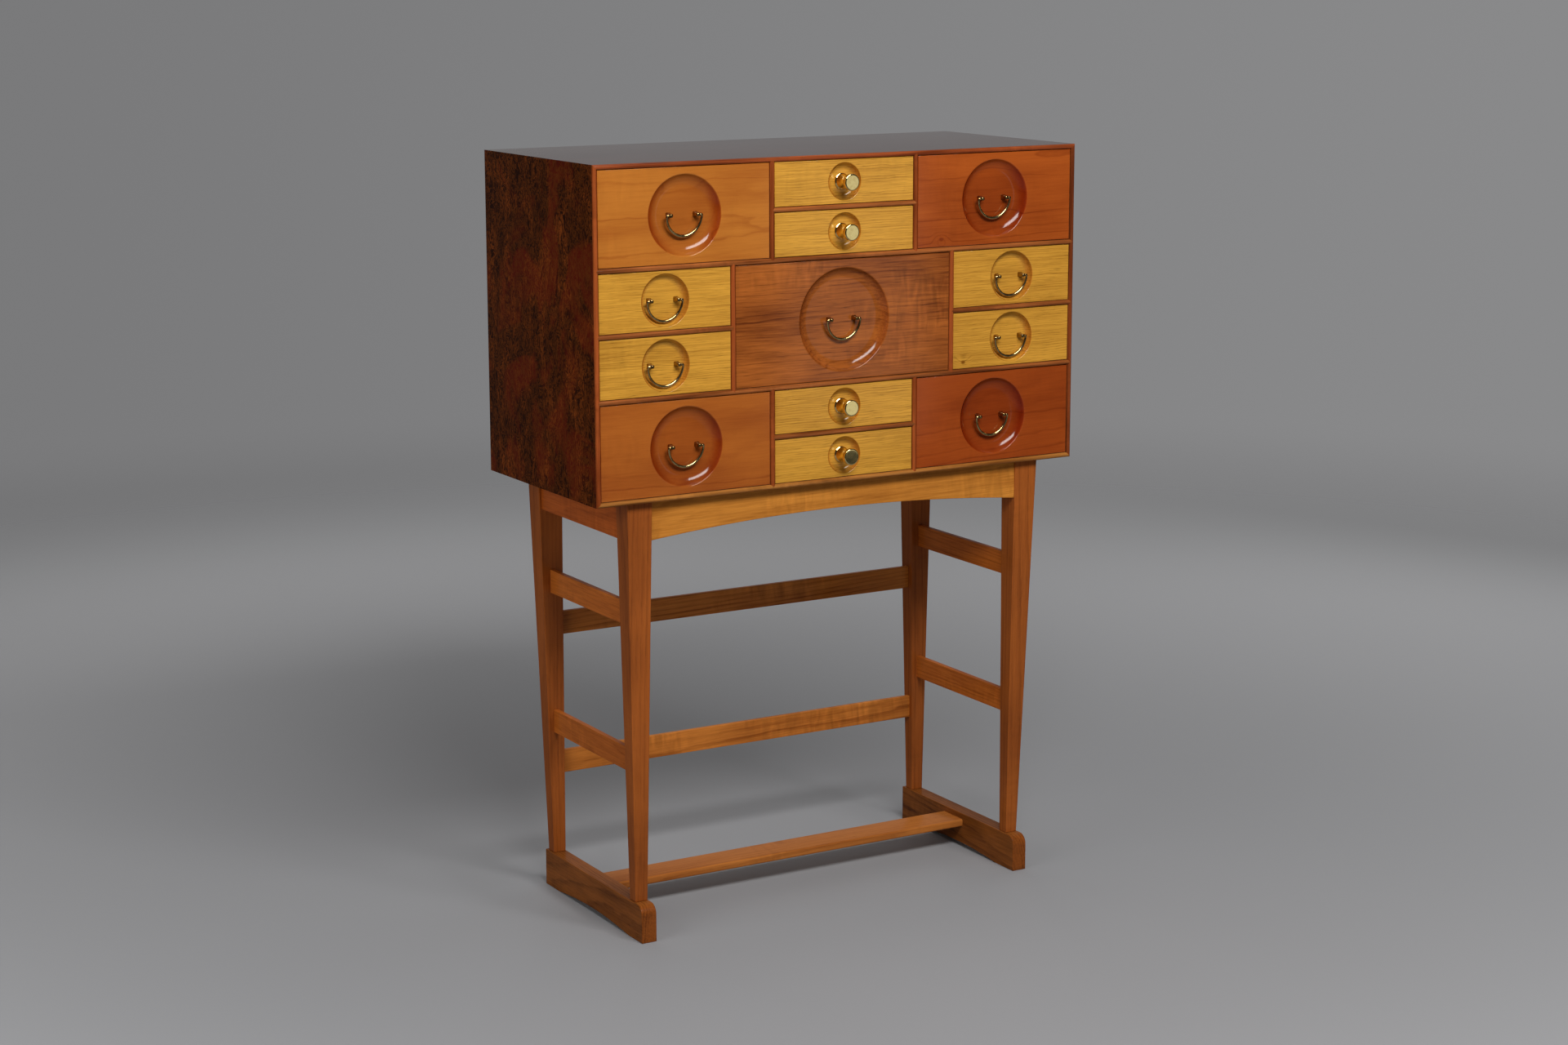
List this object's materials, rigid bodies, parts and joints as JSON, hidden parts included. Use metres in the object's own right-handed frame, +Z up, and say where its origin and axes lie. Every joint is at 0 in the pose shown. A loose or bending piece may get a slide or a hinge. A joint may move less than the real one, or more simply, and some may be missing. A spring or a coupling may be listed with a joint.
{
  "type": "chest of drawers on stand",
  "caption": "Wide veneered chest of drawers with beaded dividers, turned dishes with brass bails and knobs, on an open stand with tapered legs on two runners",
  "frame": {"origin": "Bottom centre of the bounding box: on the floor, midway between the two ends, and midway between the knob faces and the back.", "axes": "+X to the right along the width, -Y out of the drawer fronts, +Z up."},
  "size_m": [0.88, 0.404, 1.2256],
  "materials": {
    "veneer_top": "gloss",
    "burl_veneer": "gloss",
    "bead_wood": "satin",
    "back_panel": "matte",
    "front_golden": "gloss",
    "front_red": "gloss",
    "front_walnut": "gloss",
    "front_oak": "satin",
    "drawer_wood": "matte",
    "stand_wood": "satin",
    "runner_wood": "satin",
    "brass": "polished"
  },
  "bodies": {
    "cabinet": {"case_top": "veneer_top", "case_bottom": "bead_wood", "case_side_left": "burl_veneer", "case_side_right": "burl_veneer", "case_back": "back_panel", "long_rails": "bead_wood", "dividers": "bead_wood", "legs": "stand_wood", "aprons": "stand_wood", "stretchers": "stand_wood", "floor_stretcher": "runner_wood", "runners": "runner_wood"},
    "bail_bottom_left": {"bail_bottom_left": "brass"},
    "drawer_bottom_left": {"front_bottom_left": "front_golden", "box_bottom_left": "drawer_wood", "posts_bottom_left": "brass"},
    "bail_top_left": {"bail_top_left": "brass"},
    "drawer_top_left": {"front_top_left": "front_golden", "box_top_left": "drawer_wood", "posts_top_left": "brass"},
    "bail_middle_left_lower": {"bail_middle_left_lower": "brass"},
    "drawer_middle_left_lower": {"front_middle_left_lower": "front_oak", "box_middle_left_lower": "drawer_wood", "posts_middle_left_lower": "brass"},
    "bail_middle_left_upper": {"bail_middle_left_upper": "brass"},
    "drawer_middle_left_upper": {"front_middle_left_upper": "front_oak", "box_middle_left_upper": "drawer_wood", "posts_middle_left_upper": "brass"},
    "bail_bottom_right": {"bail_bottom_right": "brass"},
    "drawer_bottom_right": {"front_bottom_right": "front_red", "box_bottom_right": "drawer_wood", "posts_bottom_right": "brass"},
    "bail_top_right": {"bail_top_right": "brass"},
    "drawer_top_right": {"front_top_right": "front_red", "box_top_right": "drawer_wood", "posts_top_right": "brass"},
    "bail_middle_right_lower": {"bail_middle_right_lower": "brass"},
    "drawer_middle_right_lower": {"front_middle_right_lower": "front_oak", "box_middle_right_lower": "drawer_wood", "posts_middle_right_lower": "brass"},
    "bail_middle_right_upper": {"bail_middle_right_upper": "brass"},
    "drawer_middle_right_upper": {"front_middle_right_upper": "front_oak", "box_middle_right_upper": "drawer_wood", "posts_middle_right_upper": "brass"},
    "drawer_bottom_centre_lower": {"front_bottom_centre_lower": "front_oak", "box_bottom_centre_lower": "drawer_wood", "knob_bottom_centre_lower": "brass"},
    "drawer_bottom_centre_upper": {"front_bottom_centre_upper": "front_oak", "box_bottom_centre_upper": "drawer_wood", "knob_bottom_centre_upper": "brass"},
    "drawer_top_centre_lower": {"front_top_centre_lower": "front_oak", "box_top_centre_lower": "drawer_wood", "knob_top_centre_lower": "brass"},
    "drawer_top_centre_upper": {"front_top_centre_upper": "front_oak", "box_top_centre_upper": "drawer_wood", "knob_top_centre_upper": "brass"},
    "bail_centre": {"bail_centre": "brass"},
    "drawer_centre": {"front_centre": "front_walnut", "box_centre": "drawer_wood", "posts_centre": "brass"}
  },
  "joints": [
    {"name": "slide_bottom_left", "type": "slide", "parent": "cabinet", "child": "drawer_bottom_left", "axis": [0, -1, 0], "range_m": [0, 0.28]},
    {"name": "swing_bottom_left", "type": "hinge", "parent": "drawer_bottom_left", "child": "bail_bottom_left", "pos_m": [-0.2838, -0.1775, 0.7884], "axis": [-1, 0, 0], "range_deg": [0, 196]},
    {"name": "slide_top_left", "type": "slide", "parent": "cabinet", "child": "drawer_top_left", "axis": [0, -1, 0], "range_m": [0, 0.28]},
    {"name": "swing_top_left", "type": "hinge", "parent": "drawer_top_left", "child": "bail_top_left", "pos_m": [-0.2838, -0.1775, 1.1438], "axis": [-1, 0, 0], "range_deg": [0, 196]},
    {"name": "slide_middle_left_lower", "type": "slide", "parent": "cabinet", "child": "drawer_middle_left_lower", "axis": [0, -1, 0], "range_m": [0, 0.28]},
    {"name": "swing_middle_left_lower", "type": "hinge", "parent": "drawer_middle_left_lower", "child": "bail_middle_left_lower", "pos_m": [-0.3185, -0.178, 0.91623], "axis": [-1, 0, 0], "range_deg": [0, 196]},
    {"name": "slide_middle_left_upper", "type": "slide", "parent": "cabinet", "child": "drawer_middle_left_upper", "axis": [0, -1, 0], "range_m": [0, 0.28]},
    {"name": "swing_middle_left_upper", "type": "hinge", "parent": "drawer_middle_left_upper", "child": "bail_middle_left_upper", "pos_m": [-0.3185, -0.178, 1.01598], "axis": [-1, 0, 0], "range_deg": [0, 196]},
    {"name": "slide_bottom_right", "type": "slide", "parent": "cabinet", "child": "drawer_bottom_right", "axis": [0, -1, 0], "range_m": [0, 0.28]},
    {"name": "swing_bottom_right", "type": "hinge", "parent": "drawer_bottom_right", "child": "bail_bottom_right", "pos_m": [0.2838, -0.1775, 0.7884], "axis": [-1, 0, 0], "range_deg": [0, 196]},
    {"name": "slide_top_right", "type": "slide", "parent": "cabinet", "child": "drawer_top_right", "axis": [0, -1, 0], "range_m": [0, 0.28]},
    {"name": "swing_top_right", "type": "hinge", "parent": "drawer_top_right", "child": "bail_top_right", "pos_m": [0.2838, -0.1775, 1.1438], "axis": [-1, 0, 0], "range_deg": [0, 196]},
    {"name": "slide_middle_right_lower", "type": "slide", "parent": "cabinet", "child": "drawer_middle_right_lower", "axis": [0, -1, 0], "range_m": [0, 0.28]},
    {"name": "swing_middle_right_lower", "type": "hinge", "parent": "drawer_middle_right_lower", "child": "bail_middle_right_lower", "pos_m": [0.3185, -0.178, 0.91623], "axis": [-1, 0, 0], "range_deg": [0, 196]},
    {"name": "slide_middle_right_upper", "type": "slide", "parent": "cabinet", "child": "drawer_middle_right_upper", "axis": [0, -1, 0], "range_m": [0, 0.28]},
    {"name": "swing_middle_right_upper", "type": "hinge", "parent": "drawer_middle_right_upper", "child": "bail_middle_right_upper", "pos_m": [0.3185, -0.178, 1.01598], "axis": [-1, 0, 0], "range_deg": [0, 196]},
    {"name": "slide_bottom_centre_lower", "type": "slide", "parent": "cabinet", "child": "drawer_bottom_centre_lower", "axis": [0, -1, 0], "range_m": [0, 0.28]},
    {"name": "slide_bottom_centre_upper", "type": "slide", "parent": "cabinet", "child": "drawer_bottom_centre_upper", "axis": [0, -1, 0], "range_m": [0, 0.28]},
    {"name": "slide_top_centre_lower", "type": "slide", "parent": "cabinet", "child": "drawer_top_centre_lower", "axis": [0, -1, 0], "range_m": [0, 0.28]},
    {"name": "slide_top_centre_upper", "type": "slide", "parent": "cabinet", "child": "drawer_top_centre_upper", "axis": [0, -1, 0], "range_m": [0, 0.28]},
    {"name": "slide_centre", "type": "slide", "parent": "cabinet", "child": "drawer_centre", "axis": [0, -1, 0], "range_m": [0, 0.28]},
    {"name": "swing_centre", "type": "hinge", "parent": "drawer_centre", "child": "bail_centre", "pos_m": [0, -0.1775, 0.9661], "axis": [-1, 0, 0], "range_deg": [0, 196]}
  ]
}
